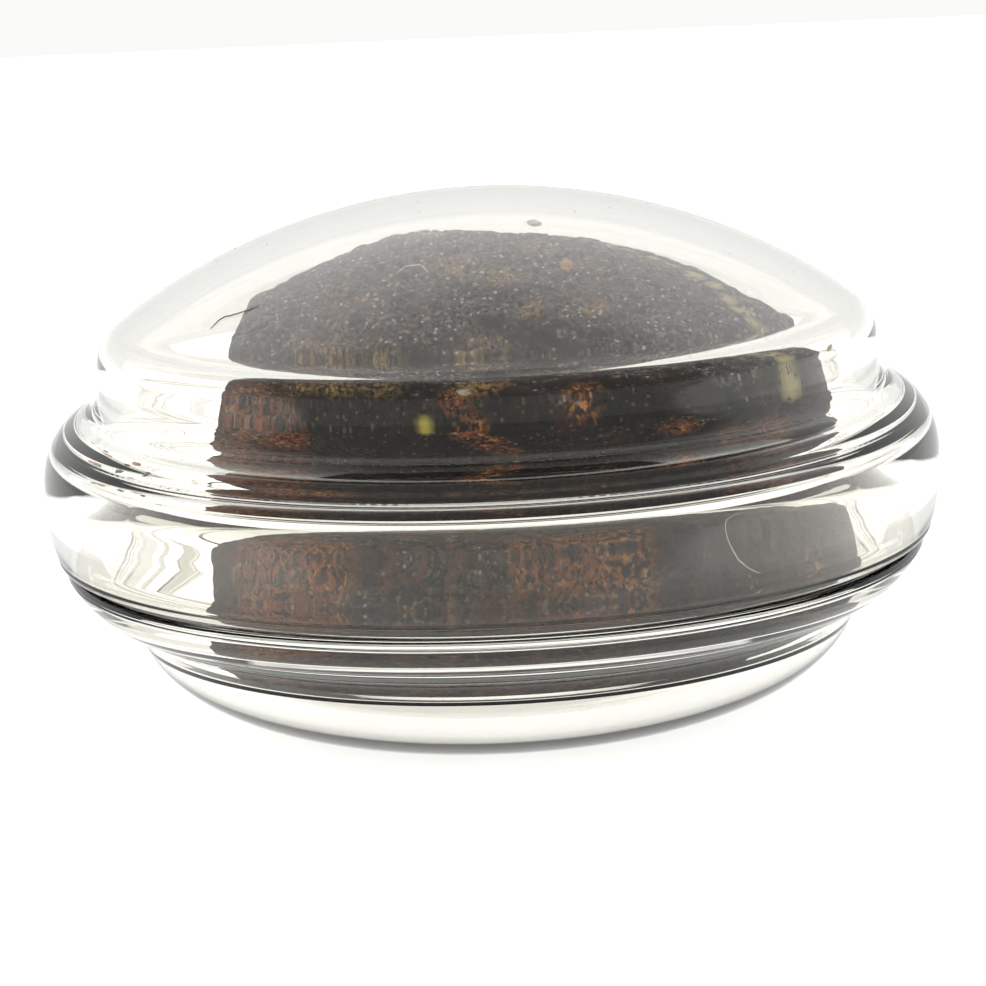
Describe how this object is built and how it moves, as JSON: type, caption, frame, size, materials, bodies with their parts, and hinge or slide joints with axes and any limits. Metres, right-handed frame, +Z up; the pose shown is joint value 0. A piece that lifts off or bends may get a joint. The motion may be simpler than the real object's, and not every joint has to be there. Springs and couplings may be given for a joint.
{
  "type": "rosin cake in clear case",
  "caption": "Rough dark block of bow rosin in a clear domed round case; the lid pulls straight up off the dished base and the block lifts out.",
  "frame": {"origin": "centre of the base's foot, on the surface the case stands on", "axes": "+Z up along the round case's own axis; the left, gapped side of the block is towards -X"},
  "size_m": [0.05, 0.05, 0.0286],
  "materials": {
    "clear_case": "polished clear moulded polystyrene",
    "dark_rosin": "broken, granular resin, dull with fine sparkles",
    "amber_rosin": "translucent amber resin crumbs",
    "pale_rosin": "powdery, cream coloured resin"
  },
  "bodies": {
    "base": {"base": "clear_case", "amber_crumb_rim": "amber_rosin", "dark_crumb_rim_1": "dark_rosin", "dark_crumb_rim_2": "dark_rosin", "dark_crumb_rim_3": "dark_rosin"},
    "cake": {"rosin_cake": "dark_rosin", "black_tipped_chip": "pale_rosin", "tan_chip": "amber_rosin", "pale_chip": "pale_rosin", "cream_chip": "pale_rosin"},
    "lid": {"lid": "clear_case", "amber_crumb_lid": "amber_rosin", "dark_crumb_lid_1": "dark_rosin", "dark_crumb_lid_2": "dark_rosin", "dark_crumb_lid_3": "dark_rosin"}
  },
  "joints": [
    {"name": "cake_lift", "type": "slide", "parent": "base", "child": "cake", "axis": [0, 0, 1], "range_m": [0, 0.025]},
    {"name": "lid_lift", "type": "slide", "parent": "cake", "child": "lid", "axis": [0, 0, 1], "range_m": [0, 0.03]}
  ]
}
